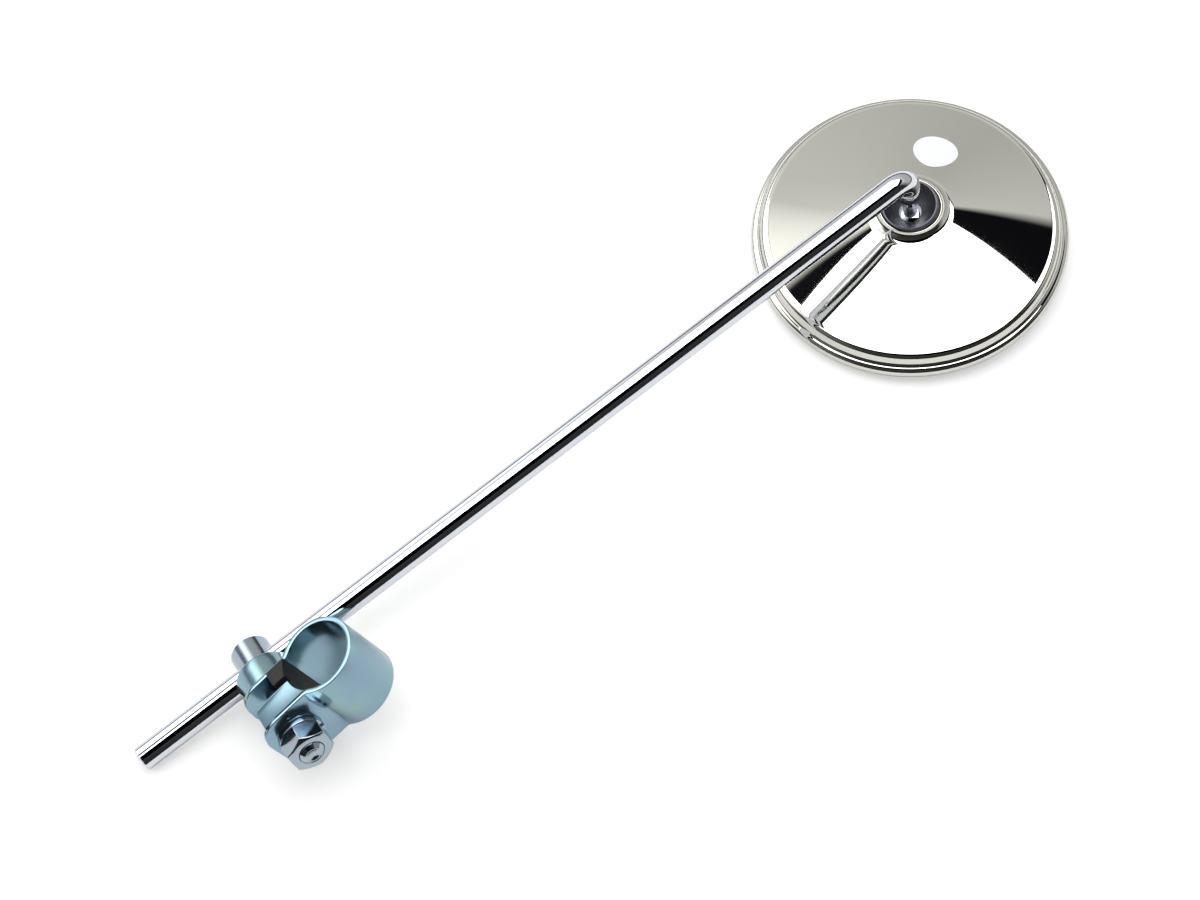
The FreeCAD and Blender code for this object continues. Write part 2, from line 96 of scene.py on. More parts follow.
# Rubber packing, whose black is partly painted shade in the gap between the lugs: gaps to a lug and to the
# bar, rounding and gap to the flanges
PACKING_SIDE, PACKING_CLEAR, PACKING_EDGE = 0.1 * MM, 0.2 * MM, 0.3 * MM

# Places and directions come from the joints: the bolt, the arm's length, its leg and the ball
JOINTS = {joint["name"]: joint for joint in frame["joints"]}
BOLT_MIDDLE = np.array(JOINTS["arm_swivel"]["pos_m"], float)
BOLT_AXIS = np.array(JOINTS["arm_swivel"]["axis"], float)
ARM_AXIS = np.array(JOINTS["arm_slide"]["axis"], float)
LEG_AXIS = np.array(JOINTS["head_turn"]["axis"], float)
BALL_MIDDLE = np.array(JOINTS["head_tilt"]["pos_m"], float)
BAR_AXIS = np.array([1.0, 0, 0])
RISE_AXIS = np.array([0, 0, 1.0])

# Soft box: its sides and power, and its place over the table as (right, away, up)
BOX_SIDES = (2.62, 2.16)
BOX_POWER = 66
BOX_PLACE = (0.22, 0.60, 2.4)

# Room as the metal sees it: shade against the height over a ceiling line that leans to the right
CEILING_LEAN = 0.133
ROOM_SHADES = (
    (0.0, (0.05, 0.055, 0.07, 1)),
    (0.13, (0.08, 0.085, 0.10, 1)),
    (0.24, (0.60, 0.60, 0.58, 1)),
    (0.55, (0.62, 0.62, 0.60, 1)),
    (0.765, (0.85, 0.85, 0.83, 1)),
    (0.79, (0.006, 0.006, 0.008, 1)),
    (1.0, (0.006, 0.006, 0.008, 1)),
)
UNDERSIDE = (0.74, 0.76, 0.79, 1)
# Factors on those shades: the near side, the window at the left, the fall from left to right
RANGE = ("From Min", "From Max", "To Min", "To Max")
NEAR_SIDE = (-0.25, 0.1, 0.06, 1.0)
WINDOW = (-0.45, -0.7, 1.0, 4.0)
SIDEWAYS = (0.45, -0.35, 0.84, 1.14)
# Share of the underside, by the same height
BELOW = (-0.06, -0.14, 0.0, 1.0)

# Table card: half its side, its shade, how clear it is to the camera, and what lifts it to white there
CARD_HALF = 1.6
CARD_SHADE = (0.86, 0.86, 0.86, 1)
CARD_CLEAR = 0.4
CARD_LIFT = 0.15


def length(name, millimetres, description):
    """Property for a length, given in millimetres and kept in metres."""
    return FloatProperty(name=name, description=description, default=millimetres * MM, unit="LENGTH")


def angle(name, degrees, description):
    """Property for an angle, given in degrees and kept in radians."""
    return FloatProperty(name=name, description=description, default=math.radians(degrees), unit="ROTATION")


def tint(name, code, description):
    """Property for an sRGB hex colour."""
    return StringProperty(name=name, description=description, default=code)


class ClampSizes(bpy.types.PropertyGroup):
    """Sizes of the strap, the eye bolt and what sits on it."""

    bar_dia: length("Bar diameter", 22, "Handlebar that the strap closes on")
    strap_thick: length("Strap thickness", 1.6, "Sheet that the strap is folded from")
    strap_width: length("Strap width", 23, "Width of the strap along the bar")
    lug_gap: length("Lug gap", 14.4, "Free space between the two lugs")
    lug_bottom: length("Lug bottom", 28.5, "Depth of the lugs below the bar's middle")
    lug_corner: length("Lug corner", 7, "Radius of the lugs' free corners")
    fold_reach: length("Fold reach", 1.7, "Length of the soft fold between loop and lug")
    flange_reach: length("Flange reach", 8, "How far a side flange runs into the gap")
    flange_bottom: length("Flange bottom", 25, "Depth of the flanges below the bar's middle")
    flange_corner: length("Flange corner", 2.2, "Radius of a flange's free corner")
    flange_clear_r: length("Flange clearance", 11.4, "Radius of the hollow edge over the bar")
    # The packing's black rubber stands partly for the shade in the gap between the lugs
    packing_bottom: length("Packing bottom", 15.8, "Depth of the rubber between the lugs")
    packing_width: length("Packing width", 19.4, "Width of the rubber between the flanges")
    packing_lip: length("Packing lip", 25.4, "Width of the rubber beside the flanges, where it stands out")
    eye_dia: length("Eye diameter", 13, "Round head of the bolt")
    eye_near: length("Eye near face", 14.4, "Near face of the head, from the bar's middle plane")
    eye_far: length("Eye far face", 32, "Far face of the head, from the bar's middle plane")
    eye_edge: length("Eye bevel", 0.8, "Bevel on the head's rims")
    bolt_dia: length("Bolt diameter", 7.9, "Shank of the bolt")
    bolt_end: length("Bolt end", 18.75, "Threaded end, from the bar's middle plane")
    tool_mark: length("Tool mark", 0.8, "Spacing of the rings on the bolt's end, drawn coarse to show")
    bolt_edge: length("Bolt bevel", 1.2, "Bevel on the threaded end")
    bolt_dimple: length("Bolt dimple", 1.7, "Radius of the centre drilling in the end")
    cup_dia: length("Cup diameter", 18.6, "Outside of the cup that carries the arm")
    cup_foot: length("Cup foot", 8.85, "Face of the cup on the lug")
    cup_rim: length("Cup rim", 20, "Rim of the cup, from the bar's middle plane")
    cup_wall: length("Cup wall", 1.8, "Thickness of the cup's wall")
    cup_floor: length("Cup floor", 2.2, "Thickness of the cup's floor")
    cup_edge: length("Cup edge", 0.7, "Rounding of the cup's rim")
    hole_dia: length("Hole diameter", 8.1, "Hole for the bolt")
    washer_dia: length("Washer diameter", 14.6, "Outside of the spring washer")
    washer_foot: length("Washer foot", 8.85, "Face of the washer on the lug")
    washer_thick: length("Washer thickness", 2, "Height of the washer")
    washer_split: length("Washer split", 1.2, "Gap in the washer")
    nut_flats: length("Nut flats", 13, "Width across the nut's flats")
    nut_foot: length("Nut foot", 10.85, "Face of the nut on the washer")
    nut_height: length("Nut height", 6.5, "Height of the nut")
    nut_bevel_dia: length("Nut bevel", 12, "Flat circle left on the nut's outer face")


class ArmSizes(bpy.types.PropertyGroup):
    """Sizes of the bent arm and the ball on its end."""

    rod_dia: length("Rod diameter", 8, "Round bar of the arm")
    rod_offset: length("Rod offset", 23, "Arm's axis, from the bar's middle plane")
    rod_tail: length("Rod tail", 45.4, "Arm below the eye bolt")
    rod_rise: length("Rod rise", 254, "Arm above the eye bolt, to the leg's axis")
    rod_edge: length("Rod bevel", 0.6, "Bevel on the arm's lower end")
    bend_radius: length("Bend radius", 6, "Radius of the bend on the arm's axis")
    taper_start: length("Taper start", 11.6, "Start of the leg's taper from the arm's axis")
    neck_start: length("Neck start", 14.4, "Start of the neck from the arm's axis")
    ring_start: length("Ring start", 24.0, "Upper face of the ring from the arm's axis")
    ring_end: length("Ring end", 25.6, "Lower face of the ring from the arm's axis")
    neck_dia: length("Neck diameter", 4.6, "Thin neck above the ring")
    ring_dia: length("Ring diameter", 8.2, "Ring that sits on the ball")
    ball_dia: length("Ball diameter", 20, "Pivot ball")
    dish_rim: length("Dish rim", 4.4, "Rim of the ball's dished top, from the ball's middle")
    dish_floor: length("Dish floor", -2.2, "Floor of the dish under the ring")


class HeadSizes(bpy.types.PropertyGroup):
    """Section of the spun shell, and the label on it."""

    tilt: angle("Head tilt", 5.5, "Lean of the head's axis from the leg towards the arm")
    ball_height: length("Ball height", 18, "Ball's middle above the front plane")
    lip_r: length("Lip radius", 46.6, "Rolled lip in front of the glass")
    lip_thick: length("Lip thickness", 0.8, "Thickness of the rolled lip")
    bead_r: length("Bead radius", 50.9, "Foot of the outer bead")
    bead_out_r: length("Bead outer radius", 52.4, "Widest part of the outer bead")
    bead_out: length("Bead outer height", 2.9, "Height of the bead's widest part")
    ledge_out_r: length("Ledge outer radius", 50.95, "Outer edge of the narrow ledge on the bead")
    ledge_out: length("Ledge outer height", 4.75, "Height of the ledge's outer edge")
    ledge_in_r: length("Ledge inner radius", 50.75, "Inner edge of the ledge")
    ledge_in: length("Ledge inner height", 4.8, "Height of the ledge's inner edge")
    step_foot_r: length("Step foot radius", 49.5, "Foot of the steep step, over a hollow fillet")
    step_foot: length("Step foot height", 6.15, "Height of the step's foot")
    step_r: length("Step radius", 49.3, "Top of the steep step")
    step_top: length("Step height", 6.75, "Height of the step's top")
    upper_r: length("Upper radius", 47.3, "Inner edge of the step's rounding")
    upper_top: length("Upper top", 8.75, "Height of the rounding's inner edge and of the cone's foot")
    cone_r: length("Cone radius", 47.1, "Foot of the cone")
    wall_r: length("Wall radius", 47.9, "Inside of the rim")
    collar_r: length("Collar radius", 13.5, "Foot of the flared collar")
    collar_foot: length("Collar foot", 18.4, "Top of the cone")
    collar_top: length("Collar top", 21, "Mouth of the collar")
    collar_round: length("Collar rounding", 4, "Radius of the collar's flare")
    mouth_r: length("Mouth radius", 9.853, "Opening that holds the ball")
    mouth_thick: length("Mouth thickness", 0.3, "Thinned edge of the mouth")
    shell_thick: length("Shell thickness", 0.9, "Sheet that the shell is spun from")
    throat_r: length("Throat radius", 10.35, "Inside of the collar under the ball")
    label_dia: length("Label diameter", 14.6, "Blank round label")
    label_thick: length("Label thickness", 0.12, "Paper of the label")
    label_r: length("Label radius", 25.4, "Label's middle, from the head's axis")
    label_turn: angle("Label turn", 31.9, "Label's place round the head's axis")


class Finishes(bpy.types.PropertyGroup):
    """Colours of the finishes, as sRGB hex values."""

    stainless: tint("Stainless steel", "#DAD9D2", "Polished shell")
    chrome: tint("Chrome", "#DDE1E8", "Plated arm")
    zinc: tint("Zinc", "#8FAEBC", "Blue passivated clamp")
    zinc_green: tint("Zinc, green film", "#94B4B6", "Thicker film on the clamp")
    zinc_violet: tint("Zinc, violet film", "#8DA8BA", "Thinner film on the clamp")
    bolt: tint("Bright zinc", "#A8B4BF", "Bolt, washer and nut")
    ball: tint("Ball", "#56575E", "Darkened steel ball")
    label: tint("Label paper", "#E2E4EE", "Blank label")
    # Rubber is the gasket's own colour; on the packing its black is partly painted shade in the gap
    rubber: tint("Rubber", "#101011", "Gasket and packing")
    silver: tint("Silvering", "#E4E9EA", "Mirror glass")
    foam: tint("Foam", "#3A3A3B", "Pad behind the glass")
    spring: tint("Spring steel", "#8C8E90", "Parts inside the head")


class StudioSettings(bpy.types.PropertyGroup):
    """Camera, floor and light."""

    camera_place: FloatVectorProperty(
        name="Camera place", description="Camera in the part's frame", unit="LENGTH",
        default=(0.4731, 0.4552, 0.1250))
    camera_right: FloatVectorProperty(
        name="Camera right", description="Picture's right in the part's frame",
        default=(-0.48908, 0.48160, 0.72723))
    camera_up: FloatVectorProperty(
        name="Camera up", description="Picture's upper side in the part's frame",
        default=(0.48287, -0.54485, 0.68555))
    lens: FloatProperty(name="Lens", description="Focal length in millimetres", default=66, unit="CAMERA")
    sensor: FloatProperty(name="Sensor", description="Width in millimetres", default=36, unit="CAMERA")
    floor_tip: angle("Floor tip", 2.26, "Lean of the floor against the mirror's front, along the arm")


def linear(code):
    """Linear colour of an sRGB hex value: the standard curve, with a straight foot under 0.04045."""
    channels = np.array([int(code[i:i + 2], 16) for i in (1, 3, 5)]) / 255
    curved = ((channels + 0.055) / 1.055) ** 2.4
    return (*np.where(channels <= 0.04045, channels / 12.92, curved), 1.0)


def add(tree, kind, inputs=None, **settings):
    """Adds one node, sets it, and fills its sockets with values or links them to other sockets."""
    node = tree.nodes.new(kind)
    for name, value in settings.items():
        setattr(node, name, value)
    for name, value in (inputs or {}).items():
        if isinstance(value, bpy.types.NodeSocket):
            tree.links.new(value, node.inputs[name])
        else:
            node.inputs[name].default_value = value
    return node


def finish(name, sockets):
    """New material with its tree and its shader, whose sockets take the given values."""
    material = bpy.data.materials.new(name)
    material.use_nodes = True
    shader = material.node_tree.nodes["Principled BSDF"]
    for socket, value in sockets.items():
        shader.inputs[socket].default_value = value
    return material, material.node_tree, shader


def per_mm(millimetres):
    """Noise scale whose features are that far apart on Object coordinates in metres."""
    return 1 / (millimetres * MM)


def uneven_gloss(tree, shader, spacing, low, high, detail=3):
    """Roughness from low to high in patches that many millimetres apart, which are handed back."""
    here = add(tree, "ShaderNodeTexCoord").outputs["Object"]
    noise = add(tree, "ShaderNodeTexNoise", {"Vector": here, "Scale": per_mm(spacing), "Detail": detail})
    patches = noise.outputs["Fac"]
    rough = add(tree, "ShaderNodeMapRange", {"Value": patches, "To Min": low, "To Max": high})
    tree.links.new(rough.outputs["Result"], shader.inputs["Roughness"])
    return patches


def unit(vector):
    """Vector of length one."""
    return vector / np.linalg.norm(vector)


def circle(steps):
    """Even turns round a full circle, in radians."""
    return np.linspace(0, 2 * math.pi, steps, endpoint=False)


def around(axis, turns):
    """Unit vectors square to axis at those turns round it, counted from the one nearest to the arm."""
    first = unit(ARM_AXIS - axis * np.dot(ARM_AXIS, axis))
    return np.cos(turns)[..., None] * first + np.sin(turns)[..., None] * np.cross(axis, first)


def arc(start, end, radius, side, steps=STEPS_ARC):
    """Points from start to end on a circle of that radius, its middle left (1) or right (-1) of the way."""
    start, end = np.array(start), np.array(end)
    chord = end - start
    half = np.linalg.norm(chord) / 2
    across = np.array([-chord[1], chord[0]]) / (2 * half)
    middle = (start + end) / 2 + side * across * math.sqrt(radius ** 2 - half ** 2)
    first = math.atan2(*(start - middle)[::-1])
    last = math.atan2(*(end - middle)[::-1])
    sweep = (last - first + math.pi) % (2 * math.pi) - math.pi
    turns = first + sweep * np.linspace(0, 1, steps)
    return middle + radius * np.stack([np.cos(turns), np.sin(turns)], axis=1)


def line(start, end, steps=2):
    """Points at even steps from start to end."""
    return np.linspace(np.array(start, float), np.array(end, float), steps)


def linked(name, data):
    """New object of the scene that shows the data."""
    piece = bpy.data.objects.new(name, data)
    bpy.context.scene.collection.objects.link(piece)
    return piece


def surface(name, points, wrap_rows, wrap_columns, material):
    """Mesh of a grid of points: one quad between four neighbours, the grid closed on itself where it wraps.

    Rows or columns that fall on one point become a pole when doubles are merged.
    The attribute "along" is the distance along a row of the grid.
    """
    rows, columns = points.shape[:2]
    index = np.arange(rows * columns).reshape(rows, columns)
    if wrap_rows:
        index = np.vstack([index, index[:1]])
    if wrap_columns:
        index = np.hstack([index, index[:, :1]])
    quads = np.stack([index[:-1, :-1], index[1:, :-1], index[1:, 1:], index[:-1, 1:]], axis=-1)
    mesh = bpy.data.meshes.new(name)
    mesh.from_pydata(points.reshape(-1, 3), [], quads.reshape(-1, 4))
    steps = np.linalg.norm(np.diff(points, axis=1), axis=2)
    along = np.concatenate([np.zeros((rows, 1)), np.cumsum(steps, axis=1)], axis=1)
    mesh.attributes.new("along", "FLOAT", "POINT").data.foreach_set("value", along.ravel())
    work = bmesh.new()
    work.from_mesh(mesh)
    bmesh.ops.remove_doubles(work, verts=work.verts, dist=MERGE_DISTANCE)
    bmesh.ops.recalc_face_normals(work, faces=work.faces)
    work.to_mesh(mesh)
    work.free()
    mesh.shade_smooth()
    mesh.set_sharp_from_angle(angle=EDGE_ANGLE)
    mesh.materials.append(material)
    return linked(name, mesh)


def turned(name, outline, middle, axis, material, closed=True):
    """Surface of revolution: each outline point (radius, height) is carried round the axis."""
    spokes = around(axis, circle(STEPS_ROUND))
    points = middle + outline[None, :, :1] * spokes[:, None] + outline[None, :, 1:] * axis
    return surface(name, points, True, closed, material)


def soften(piece, width):
    """Small bevel on the sharp edges, so that they catch the light."""
    bevel = piece.modifiers.new("soft_edges", "BEVEL")
    bevel.width = width
    bevel.segments = 3
    bevel.limit_method = "ANGLE"
    bevel.angle_limit = EDGE_ANGLE
    bevel.harden_normals = True


def place(piece, body, slot, *nodes):
    """The piece rides on a body and stands for its CAD nodes, which are hidden; slot is not used."""
    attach(piece, body)
    if nodes:
        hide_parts(*nodes)


def head_axis(context):
    """Axis of the head, out of its back."""
    lean = context.scene.mirror_head.tilt
    return math.cos(lean) * LEG_AXIS + math.sin(lean) * ARM_AXIS


def polished_stainless(colours):
    """Stainless sheet, spun and polished: a warm mirror with faint cloudiness from the buffing."""
    material, tree, shader = finish(
        "Stainless steel, spun and polished", {"Metallic": 1, "Base Color": linear(colours.stainless)})
    uneven_gloss(tree, shader, 14, 0.015, 0.035)
    return material


def bright_chrome(colours):
    """Steel bar, polished and chromium plated: a cool clear mirror with slight haze."""
    material, tree, shader = finish(
        "Steel, chromium plated", {"Metallic": 1, "Base Color": linear(colours.chrome)})
    uneven_gloss(tree, shader, 9, 0.025, 0.06)
    return material


def blue_zinc(colours):
    """Sheet steel, zinc plated and blue passivated: satin metal with green and violet film."""
    material, tree, shader = finish("Steel sheet, blue passivated zinc", {"Metallic": 1})
    here = add(tree, "ShaderNodeTexCoord").outputs["Object"]
    film = add(tree, "ShaderNodeTexNoise", {"Vector": here, "Scale": per_mm(16), "Detail": 2})
    ramp = add(tree, "ShaderNodeValToRGB", {"Fac": film.outputs["Fac"]})
    stops = ramp.color_ramp.elements
    stops[0].position, stops[0].color = 0.36, linear(colours.zinc_green)
    stops[1].position, stops[1].color = 0.64, linear(colours.zinc_violet)
    stops.new(0.5).color = linear(colours.zinc)
    grain = uneven_gloss(tree, shader, 0.5, 0.13, 0.24, detail=2)
    bump = add(tree, "ShaderNodeBump", {"Height": grain, "Strength": 0.08, "Distance": 0.1 * MM})
    tree.links.new(ramp.outputs["Color"], shader.inputs["Base Color"])
    tree.links.new(bump.outputs["Normal"], shader.inputs["Normal"])
    return material


def bright_zinc(colours):
    """Turned steel, bright zinc plated: clean metal with a fine grain."""
    material, tree, shader = finish(
        "Steel, turned and bright zinc plated", {"Metallic": 1, "Base Color": linear(colours.bolt)})
    uneven_gloss(tree, shader, 0.7, 0.08, 0.17)
    return material


def dark_ball(colours):
    """Steel ball, turned and darkened: satin, with the tool's faint rings drawn coarse enough to show."""
    material, tree, shader = finish("Steel ball, turned and darkened", {
        "Metallic": 0.85, "Base Color": linear(colours.ball), "Roughness": 0.36})
    along = add(tree, "ShaderNodeAttribute", attribute_name="along")
    pace = 2 * math.pi * per_mm(0.9)
    turns = add(tree, "ShaderNodeMath", {0: along.outputs["Fac"], 1: pace}, operation="MULTIPLY")
    wave = add(tree, "ShaderNodeMath", {0: turns.outputs["Value"]}, operation="SINE")
    bump = add(tree, "ShaderNodeBump", {
        "Height": wave.outputs["Value"], "Strength": 0.5, "Distance": 0.05 * MM})
    tree.links.new(bump.outputs["Normal"], shader.inputs["Normal"])
    return material


def label_paper(colours):
    """Coated label paper, die cut and blank: bright matt white with a fine fibre grain."""
    material, tree, shader = finish(
        "Coated paper, die cut", {"Base Color": linear(colours.label), "Roughness": 0.55})
    here = add(tree, "ShaderNodeTexCoord").outputs["Object"]
    fibre = add(tree, "ShaderNodeTexNoise", {"Vector": here, "Scale": per_mm(0.4), "Detail": 3})
    bump = add(tree, "ShaderNodeBump", {
        "Height": fibre.outputs["Fac"], "Strength": 0.1, "Distance": 0.05 * MM})
    tree.links.new(bump.outputs["Normal"], shader.inputs["Normal"])
    return material


def moulded_rubber(colours):
    """Rubber, moulded: dark and matt with a fine skin."""
    material, tree, shader = finish("Rubber, moulded", {"Base Color": linear(colours.rubber)})
    uneven_gloss(tree, shader, 0.6, 0.5, 0.7, detail=2)
    return material


def silvered_glass(colours):
    """Float glass, silvered: a clean mirror under a clear glossy face."""
    material, tree, shader = finish(
        "Glass, silvered", {"Metallic": 1, "Base Color": linear(colours.silver), "Coat Weight": 0.3})
    uneven_gloss(tree, shader, 25, 0.005, 0.02)
    return material


def cut_foam(colours):
    """Foam sheet, die cut: dark and matt with open cells."""
    material, tree, shader = finish(
        "Foam, die cut", {"Base Color": linear(colours.foam), "Roughness": 0.9})
    here = add(tree, "ShaderNodeTexCoord").outputs["Object"]
    cells = add(tree, "ShaderNodeTexVoronoi", {"Vector": here, "Scale": per_mm(1)})
    bump = add(tree, "ShaderNodeBump", {
        "Height": cells.outputs["Distance"], "Strength": 0.4, "Distance": 0.2 * MM})
    tree.links.new(bump.outputs["Normal"], shader.inputs["Normal"])
    return material


def spring_steel(colours):
    """Spring steel, pressed: plain satin metal."""
    material, tree, shader = finish(
        "Spring steel, pressed", {"Metallic": 1, "Base Color": linear(colours.spring)})
    uneven_gloss(tree, shader, 2, 0.3, 0.45)
    return material


def shell_wall(sizes):
    """Outside of the shell's section from the rolled lip to the mouth, as (radius, height)."""
    bead_foot = (sizes.bead_r, 0)
    bead_out = (sizes.bead_out_r, sizes.bead_out)
    ledge_out = (sizes.ledge_out_r, sizes.ledge_out)
    ledge_in = (sizes.ledge_in_r, sizes.ledge_in)
    step_foot = (sizes.step_foot_r, sizes.step_foot)
    step_top = (sizes.step_r, sizes.step_top)
    upper = (sizes.upper_r, sizes.upper_top)
    cone = (sizes.cone_r, sizes.upper_top)
    collar = (sizes.collar_r, sizes.collar_foot)
    return np.vstack([
        line((sizes.lip_r, 0), bead_foot, 4),
        arc(bead_foot, bead_out, BEAD_LOW_ROUND, 1)[1:],
        arc(bead_out, ledge_out, BEAD_ROUND, 1, 14)[1:],
        line(ledge_out, ledge_in, 2)[1:],
        arc(ledge_in, step_foot, FILLET_ROUND, -1, 12)[1:],
        line(step_foot, step_top, 5)[1:],
        arc(step_top, upper, STEP_ROUND, 1, 16)[1:],
        line(upper, cone, 2)[1:],
        line(cone, collar, STEPS_CURVE)[1:],
        arc(collar, (sizes.mouth_r + sizes.mouth_thick, sizes.collar_top), sizes.collar_round, -1)[1:],
    ])


def cone_height(sizes, radius):
    """Height of the cone's outside at a radius."""
    slope = (sizes.collar_foot - sizes.upper_top) / (sizes.cone_r - sizes.collar_r)
    return sizes.upper_top + slope * (sizes.cone_r - radius)


class MIRROR_OT_shell(bpy.types.Operator):
    """Builds the spun back shell"""

    bl_idname = "mirror.shell"
    bl_label = "Back shell"

    def execute(self, context):
        """Closed section, the outside and then the inside, turned about the head's axis."""
        sizes = context.scene.mirror_head
        ball_r = context.scene.mirror_arm.ball_dia / 2
        seat_r = math.hypot(sizes.mouth_r, sizes.collar_top - sizes.ball_height)
        throat = (sizes.throat_r, cone_height(sizes, sizes.throat_r) - sizes.shell_thick)
        mouth = (sizes.mouth_r, sizes.collar_top)
        if seat_r <= ball_r:
            raise RuntimeError("the collar's mouth leaves no room for the ball")
        wall_top = (sizes.wall_r, sizes.upper_top - sizes.shell_thick)
        wall_foot = (sizes.wall_r, sizes.lip_thick)
        section = np.vstack([
            shell_wall(sizes),
            line(mouth, throat, 8),
            line(throat, wall_top, 20)[1:],
            line(wall_top, wall_foot, 4)[1:],
            line(wall_foot, (sizes.lip_r, sizes.lip_thick), 3)[1:],
        ])
        axis = head_axis(context)
        front = BALL_MIDDLE - sizes.ball_height * axis
        material = polished_stainless(context.scene.mirror_finishes)
        shell = turned("back_shell_surface", section, front, axis, material)
        soften(shell, SHELL_BEVEL)
        place(shell, "head", "polished_stainless", "back_shell")
        return {"FINISHED"}


class MIRROR_OT_label(bpy.types.Operator):
    """Builds the blank round label on the cone"""

    bl_idname = "mirror.label"
    bl_label = "Label"

    def execute(self, context):
        """Disc in polar steps on the unrolled cone: out along the slope and round the axis."""
        sizes = context.scene.mirror_head
        axis = head_axis(context)
        front = BALL_MIDDLE - sizes.ball_height * axis
        lean = math.atan2(sizes.collar_foot - sizes.upper_top, sizes.cone_r - sizes.collar_r)
        half = sizes.label_dia / 2
        reach = np.array([0, 0.3, 0.6, 0.9, 1, 1, 0.9, 0.5, 0]) * half
        lift = np.array([1, 1, 1, 1, 1, 0, 0, 0, 0]) * sizes.label_thick
        turns = circle(STEPS_ROUND // 2)[:, None]
        radius = sizes.label_r + reach * np.cos(turns) * math.cos(lean)
        swing = sizes.label_turn + reach * np.sin(turns) / sizes.label_r
        height = cone_height(sizes, radius) + lift
        spokes = around(axis, swing)
        points = front + radius[..., None] * spokes + height[..., None] * axis
        label = surface("blank_label", points, True, False, label_paper(context.scene.mirror_finishes))
        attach(label, "head")
        return {"FINISHED"}


class MIRROR_OT_arm(bpy.types.Operator):
    """Builds the bent arm with its neck, ring and stud"""

    bl_idname = "mirror.arm"
    bl_label = "Arm"

    def execute(self, context):
        """Circle of changing radius carried along a line, a quarter circle and a second line."""
        sizes = context.scene.mirror_arm
        rod_r, bend_r, rise = sizes.rod_dia / 2, sizes.bend_radius, sizes.rod_rise
        tail = -sizes.rod_tail
        heights = np.array([tail, tail, tail + sizes.rod_edge])
        heights = np.concatenate([heights, np.linspace(tail + 2 * sizes.rod_edge, rise - bend_r, 24)])
        rod_radii = np.concatenate([[0, rod_r - sizes.rod_edge], np.full(len(heights) - 2, rod_r)])
        turns = np.linspace(0, math.pi / 2, STEPS_CURVE)[1:]
        neck_r, ring_r = sizes.neck_dia / 2, sizes.ring_dia / 2
        stud_end = sizes.ring_end + STUD_REACH
        leg = np.array([
            (sizes.taper_start, rod_r),
            (sizes.taper_start + TAPER_EASE, rod_r - TAPER_IN),
            (sizes.neck_start - TAPER_EASE, neck_r + TAPER_OUT),
            (sizes.neck_start, neck_r),
            (sizes.ring_start, neck_r),
            (sizes.ring_start + RING_SLOPE, ring_r - RING_EDGE),
            (sizes.ring_start + RING_RIM, ring_r),
            (sizes.ring_end, ring_r),
            (sizes.ring_end, neck_r),
            (stud_end, neck_r),
            (stud_end, 0),
        ])
        straight, bent, last = len(heights), len(turns), len(leg)
        out = np.concatenate([np.zeros(straight), bend_r * (np.cos(turns) - 1), -leg[:, 0]])
        up = np.concatenate([heights, rise - bend_r + bend_r * np.sin(turns), np.full(last, rise)])
        radii = np.concatenate([rod_radii, np.full(bent, rod_r), leg[:, 1]])
        lean = np.concatenate([np.zeros(straight), turns, np.full(last, math.pi / 2)])
        foot = BOLT_MIDDLE - BOLT_AXIS * sizes.rod_offset
        middle = foot + out[:, None] * LEG_AXIS + up[:, None] * ARM_AXIS
        outward = np.cos(lean)[:, None] * LEG_AXIS + np.sin(lean)[:, None] * ARM_AXIS
        sideways = np.cross(ARM_AXIS, LEG_AXIS)
        rounds = circle(STEPS_ROUND // 2)[None, :, None]
        spokes = np.cos(rounds) * outward[:, None] + np.sin(rounds) * sideways
        points = middle[:, None] + radii[:, None, None] * spokes
        material = bright_chrome(context.scene.mirror_finishes)
        arm = surface("mirror_arm_surface", points, False, True, material)
        place(arm, "arm", "chromed_steel", "mirror_arm")
        return {"FINISHED"}


class MIRROR_OT_ball(bpy.types.Operator):
    """Builds the pivot ball"""

    bl_idname = "mirror.ball"
    bl_label = "Ball"

    def execute(self, context):
        """Sphere up to the dish's rim, then a hollow that falls with the square of the radius."""
        sizes = context.scene.mirror_arm
        ball_r = sizes.ball_dia / 2
        turns = np.linspace(-math.pi / 2, math.asin(sizes.dish_rim / ball_r), 2 * STEPS_CURVE)
        sphere = ball_r * np.stack([np.cos(turns), np.sin(turns)], axis=1)
        radii = np.linspace(sphere[-1, 0] - DISH_LIP, 0, STEPS_CURVE)
        share = (radii / radii[0]) ** 2
        hollow = np.stack([radii, sizes.dish_floor + share * (sizes.dish_rim - sizes.dish_floor)], axis=1)
        outline = np.vstack([sphere, hollow])
        material = dark_ball(context.scene.mirror_finishes)
        ball = turned("pivot_ball_surface", outline, BALL_MIDDLE, LEG_AXIS, material, closed=False)
        place(ball, "ball", "dark_ball", "pivot_ball")
        return {"FINISHED"}


def corner_loop(steps=4):
    """Unit shares of a rounded rectangle's loop: which corner each point belongs to, and its turn in it."""
    corner = np.repeat(np.array([(1, 1), (-1, 1), (-1, -1), (1, -1)]), steps, axis=0)
    start = np.repeat(np.arange(4) * math.pi / 2, steps)
    turns = start + np.tile(np.linspace(0, math.pi / 2, steps), 4)
    return corner, np.stack([np.cos(turns), np.sin(turns)], axis=1)


def strip(name, middle, half_wide, half_thick, across, through, edge, material):
    """Strip of sheet: a rounded rectangle carried along a path.

    Its width, thickness and direction through the sheet are given for each step, or once for all.
    """
    corner, turn = corner_loop()
    wide = corner[:, 0] * (np.reshape(half_wide, (-1, 1)) - edge) + edge * turn[:, 0]
    thick = corner[:, 1] * (np.reshape(half_thick, (-1, 1)) - edge) + edge * turn[:, 1]
    points = middle[:, None] + wide[..., None] * across + thick[..., None] * np.reshape(through, (-1, 1, 3))
    ends = np.repeat(middle[[0, -1], None], points.shape[1], axis=1)
    points = np.concatenate([ends[:1], points, ends[1:]])
    return surface(name, points, False, True, material)


